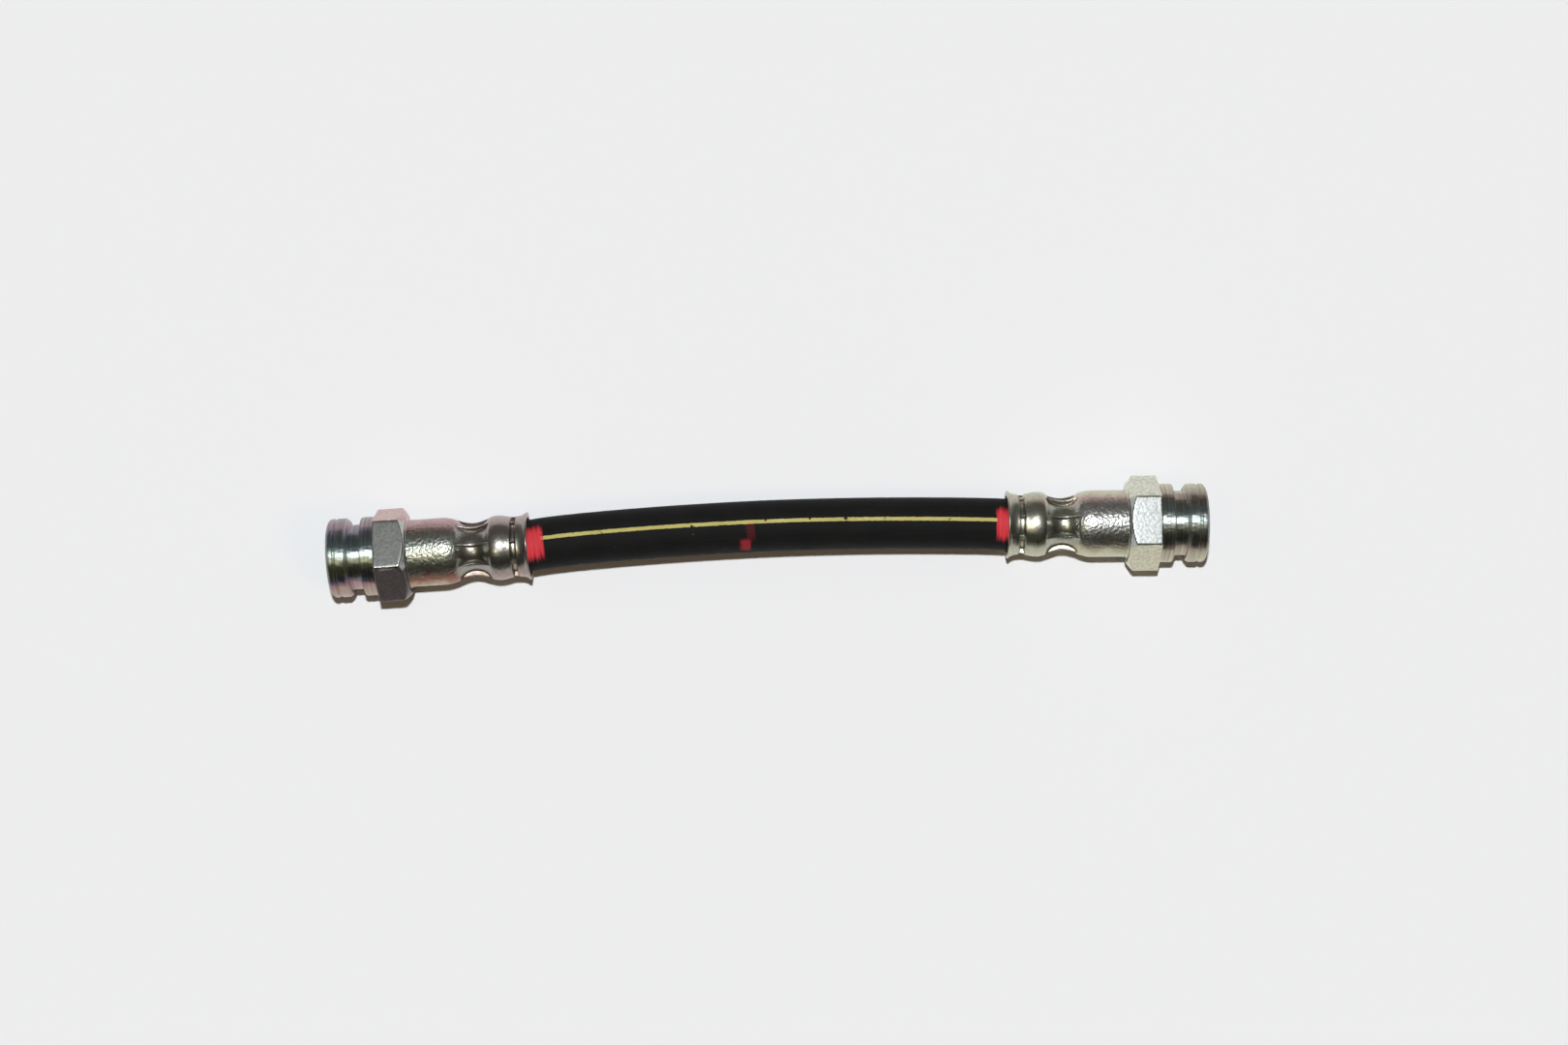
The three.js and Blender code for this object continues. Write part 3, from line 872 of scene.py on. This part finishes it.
def plated_steel(name, tints_and_shade, near_side, hexagon_tints_and_shade=None, crimp_film=None):
    """Zinc-plated steel under a thin passivation coat, which gives the eye bands and clouds of tint.
    Its bands on the sides also hold painted shade and painted reflection. With tints for a hexagon
    and a crimp it is forged and dimpled by tumbling, otherwise turned. The near side is 1 or -1:
    the way along the fitting's own Y that faces the front."""
    material, tree = new_material(name)
    own_place = add_node(tree, "TexCoord", {})["Object"]
    place = add_node(tree, "VectorMath", {0: own_place, "Scale": 1 / MM}, operation="SCALE")[0]
    length, across, _ = add_node(tree, "SeparateXYZ", {0: place})

    # Clouds shift the bands of tint and painted shade, which end where the flat end face begins
    clouds = add_node(tree, "TexNoise", {
        "Vector": place, "Scale": 1 / CLOUD_SIZE, "Detail": 2.0, "Distortion": 0.5})[0]
    band = add_node(tree, "MapRange", {
        "Value": across, "From Min": -near_side * BAND_REACH, "From Max": near_side * BAND_REACH})[0]
    band = add_node(tree, "MapRange", {
        "Value": length, "From Min": FITTING_LENGTH - END_BAND_EDGE, "From Max": FITTING_LENGTH,
        "To Min": band, "To Max": MIDDLE_OF_BANDS})[0]
    shift = add_node(tree, "Math", {
        0: clouds, 1: CLOUD_SHIFT, 2: -CLOUD_SHIFT / 2}, operation="MULTIPLY_ADD")[0]
    band = add_node(tree, "Math", {0: band, 1: shift}, operation="ADD")[0]
    # The bands hold the film's tint, with painted shade and painted reflection on the sides
    ramp = add_node(tree, "ValToRGB", {0: band})
    fill_ramp(ramp[0].node.color_ramp, tints_and_shade)
    if hexagon_tints_and_shade:
        on_hexagon = add_node(tree, "MapRange", {
            "Value": length, "From Min": HEX_START - HEXAGON_BAND_EDGE, "From Max": HEX_START})[0]
        untouched = add_node(tree, "MapRange", {
            "Value": length, "From Min": PRESSED_UP_TO, "From Max": UNTOUCHED_FROM})[0]
        flats = add_node(tree, "ValToRGB", {0: band})
        fill_ramp(flats[0].node.color_ramp, hexagon_tints_and_shade)
        worn = add_node(tree, "MapRange", {"Value": untouched, "To Min": CRIMP_WEAR, "To Max": 0})[0]
        colour = add_node(tree, "Mix", {
            "Factor": worn, 6: ramp[0], 7: linear(crimp_film)}, data_type="RGBA")[2]
        colour = add_node(tree, "Mix", {
            "Factor": on_hexagon, 6: colour, 7: flats[0]}, data_type="RGBA")[2]

        # Dimples over the forging, weaker on the hexagon and pressed smooth by the jaws
        dimples = add_node(tree, "TexNoise", {
            "Vector": place, "Scale": 1 / DIMPLE_SIZE, "Detail": 1.5})[0]
        depth = add_node(tree, "MapRange", {
            "Value": untouched, "To Min": CRIMP_DIMPLES, "To Max": 1})[0]
        depth = add_node(tree, "MapRange", {
            "Value": on_hexagon, "To Min": depth, "To Max": HEXAGON_DIMPLES})[0]
        height = add_node(tree, "Math", {0: dimples, 1: depth}, operation="MULTIPLY")[0]
        shade = add_node(tree, "MapRange", {
            "Value": on_hexagon, "To Min": SKIRT_SHADE, "To Max": HEXAGON_SHADE})[0]
        # The hollows of the dimples are painted darker: painted shade
        painted_hollow_shade = add_node(tree, "MapRange", {
            "Value": dimples, "From Min": NOISE_LOW, "From Max": NOISE_HIGH,
            "To Min": shade, "To Max": 1.0})[0]
        bump = add_node(tree, "Bump", {
            "Strength": 1.0, "Distance": DIMPLE_DEPTH * MM, "Height": height})[0]
        roughness = add_node(tree, "MapRange", {
            "Value": untouched, "To Min": CRIMP_ROUGHNESS, "To Max": FORGED_ROUGHNESS})[0]
        roughness = add_node(tree, "MapRange", {
            "Value": on_hexagon, "To Min": roughness, "To Max": HEXAGON_ROUGHNESS})[0]
        lengthwise_spread = 0.0
    else:
        # Turning marks run round the axis, with scuffs over them. Marks too fine to draw spread
        # every gleam along the axis
        colour = ramp[0]
        marks_place = add_node(tree, "VectorMath", {
            0: place, 1: (1 / TURNING_MARK_SPACING, MARK_CHANGE, MARK_CHANGE)}, operation="MULTIPLY")[0]
        marks = add_node(tree, "TexNoise", {"Vector": marks_place, "Scale": 1.0, "Detail": 1.0})[0]
        scuffs_place = add_node(tree, "VectorMath", {
            0: place, 1: tuple(1 / size for size in SCUFF_SIZE)}, operation="MULTIPLY")[0]
        scuffs = add_node(tree, "TexNoise", {
            "Vector": scuffs_place, "Scale": 1.0, "Detail": 2.0})[0]
        height = add_node(tree, "Math", {
            0: marks, 1: 0.5, 2: scuffs}, operation="MULTIPLY_ADD")[0]
        # The low parts of the turning marks are painted darker: painted shade
        painted_hollow_shade = add_node(tree, "MapRange", {
            "Value": marks, "From Min": NOISE_LOW, "From Max": NOISE_HIGH,
            "To Min": TURNED_SHADE, "To Max": 1.0})[0]
        bump = add_node(tree, "Bump", {
            "Strength": 1.0, "Distance": TURNING_DEPTH * MM, "Height": height})[0]
        roughness = TURNED_ROUGHNESS
        lengthwise_spread = TURNED_SPREAD
    colour = add_node(tree, "VectorMath", {
        0: colour, "Scale": painted_hollow_shade}, operation="SCALE")[0]
    round_axis = add_node(tree, "Tangent", {}, direction_type="RADIAL", axis="X")[0]
    shader = add_node(tree, "BsdfPrincipled", {
        "Base Color": colour,
        "Metallic": 1.0,
        "Roughness": roughness,
        "Anisotropic": lengthwise_spread,
        "Anisotropic Rotation": 0.25,
        "Tangent": round_axis,
        "Normal": bump,
    })[0]
    add_node(tree, "OutputMaterial", {"Surface": shader})
    return material


def painted_table(hex_colour):
    """A plain matt white table top."""
    material, tree = new_material("matt_white_table")
    shader = add_node(tree, "BsdfPrincipled", {
        "Base Color": linear(hex_colour),
        "Roughness": 0.9,
        "Specular IOR Level": 0.1,
    })[0]
    add_node(tree, "OutputMaterial", {"Surface": shader})
    return material


hose.data.materials.append(epdm_rubber(free_length))
NEAR_SIDE = {"left": 1, "right": -1}
insert_steel = plated_steel("turned_steel", TINTS_AND_PAINTED_SHADE["insert"], NEAR_SIDE["left"])
for end, near_side in NEAR_SIDE.items():
    fitting = make_fitting(end)
    forged = plated_steel(
        f"{end}_forged_zinc_plate", TINTS_AND_PAINTED_SHADE[f"{end}_forged"], near_side,
        hexagon_tints_and_shade=TINTS_AND_PAINTED_SHADE[f"{end}_hexagon"], crimp_film=CRIMP_FILM[end])
    turned = plated_steel(f"{end}_turned_zinc_plate", TINTS_AND_PAINTED_SHADE[f"{end}_turned"], near_side)
    fitting.data.materials.append(forged)
    fitting.data.materials.append(turned)
    make_insert(end).data.materials.append(insert_steel)


# Table, light and surroundings

TABLE_SIZE = 4000
TABLE_COLOUR = "ececec"
KEY_PLACE = (0, 48, 610)
KEY_RADIUS = 11
KEY_COLOUR = "f8fbff"
KEY_POWER = 37.2
KEY_GLEAM = 23.0
BULB_PLACE = (124, -103, 332)
BULB_RADIUS = 30
BULB_COLOUR = "ffc994"
BULB_POWER = 2.0
BULB_GLEAM = 0.5
FAR_LAMP_PLACE = (-172, -150, 600)
FAR_LAMP_RADIUS = 8
FAR_LAMP_COLOUR = "fff0cc"
FAR_LAMP_POWER = 0.5
FAR_LAMP_GLEAM = 2.5
# The lamps light the table evenly wherever the sine of their elevation is above this
LOWEST_SINE = 0.1


def add_table():
    half = TABLE_SIZE / 2
    corners = [(-half, -half, 0), (half, -half, 0), (half, half, 0), (-half, half, 0)]
    table = mesh_object("table_top", corners, [(0, 1, 2, 3)])
    table.data.materials.append(painted_table(TABLE_COLOUR))


def make_lamp(name, place, radius, colour, power):
    """A small lamp. It doesn't fade with distance or slant, so the table is evenly lit."""
    data = bpy.data.lights.new(name, "POINT")
    data.energy = power
    data.color = linear(colour)[:3]
    data.shadow_soft_size = radius * MM
    data.use_nodes = True
    tree = data.node_tree
    tree.nodes.clear()
    way = add_node(tree, "TexCoord", {})["Normal"]
    drop = add_node(tree, "SeparateXYZ", {0: way})[2]
    slant = add_node(tree, "Math", {0: drop}, operation="ABSOLUTE")[0]
    slant = add_node(tree, "Math", {0: slant, 1: LOWEST_SINE}, operation="MAXIMUM")[0]
    even = add_node(tree, "LightFalloff", {"Strength": 1.0})["Constant"]
    strength = add_node(tree, "Math", {0: even, 1: slant}, operation="DIVIDE")[0]
    light = add_node(tree, "Emission", {"Strength": strength})[0]
    add_node(tree, "OutputLight", {"Surface": light})
    lamp = bpy.data.objects.new(name, data)
    lamp.location = Vector(place) * MM
    bpy.context.scene.collection.objects.link(lamp)
    return lamp


def add_lamp(name, place, radius, colour, power, gleam):
    """A lamp with separate powers for lighting matt surfaces and for gleaming in metal."""
    make_lamp(name + "_light", place, radius, colour, power).visible_glossy = False
    make_lamp(name + "_gleam", place, radius, colour, gleam).visible_diffuse = False


# What the room shows by the sine of the elevation, in front of the part and behind it
ROOM_IN_FRONT = [(0.0, "2b2a25"), (0.7, "2e2f2a"), (1.0, "4a4b48")]
ROOM_BEHIND = [(0.0, "8a857c"), (0.12, "605e58"), (0.7, "5c5b55"), (1.0, "4a4b48")]
ROOM_BLEND = 0.25


def add_room():
    world = bpy.data.worlds.new("room")
    world.use_nodes = True
    tree = world.node_tree
    tree.nodes.clear()
    direction = add_node(tree, "TexCoord", {})["Generated"]
    _, back, height = add_node(tree, "SeparateXYZ", {0: direction})
    halves = []
    for stops in (ROOM_IN_FRONT, ROOM_BEHIND):
        ramp = add_node(tree, "ValToRGB", {0: height})
        fill_ramp(ramp[0].node.color_ramp, stops)
        halves.append(ramp[0])
    behind = add_node(tree, "MapRange", {
        "Value": back, "From Min": -ROOM_BLEND, "From Max": ROOM_BLEND})[0]
    room = add_node(tree, "Mix", {
        "Factor": behind, 6: halves[0], 7: halves[1]}, data_type="RGBA")[2]
    background = add_node(tree, "Background", {"Color": room})[0]
    add_node(tree, "OutputWorld", {"Surface": background})
    bpy.context.scene.world = world


add_table()

# The photo holds back its brightest highlights, so the key lamp gleams less than it lights. A weak,
# warm bulb in front and to the right browns the shadows, and a small lamp in front and to the left
# gleams along the left fitting.
add_lamp("key_lamp", KEY_PLACE, KEY_RADIUS, KEY_COLOUR, KEY_POWER, KEY_GLEAM)
add_lamp("room_bulb", BULB_PLACE, BULB_RADIUS, BULB_COLOUR, BULB_POWER, BULB_GLEAM)
add_lamp(
    "far_lamp", FAR_LAMP_PLACE, FAR_LAMP_RADIUS, FAR_LAMP_COLOUR, FAR_LAMP_POWER, FAR_LAMP_GLEAM)
add_room()
bpy.context.scene.view_settings.view_transform = "Standard"
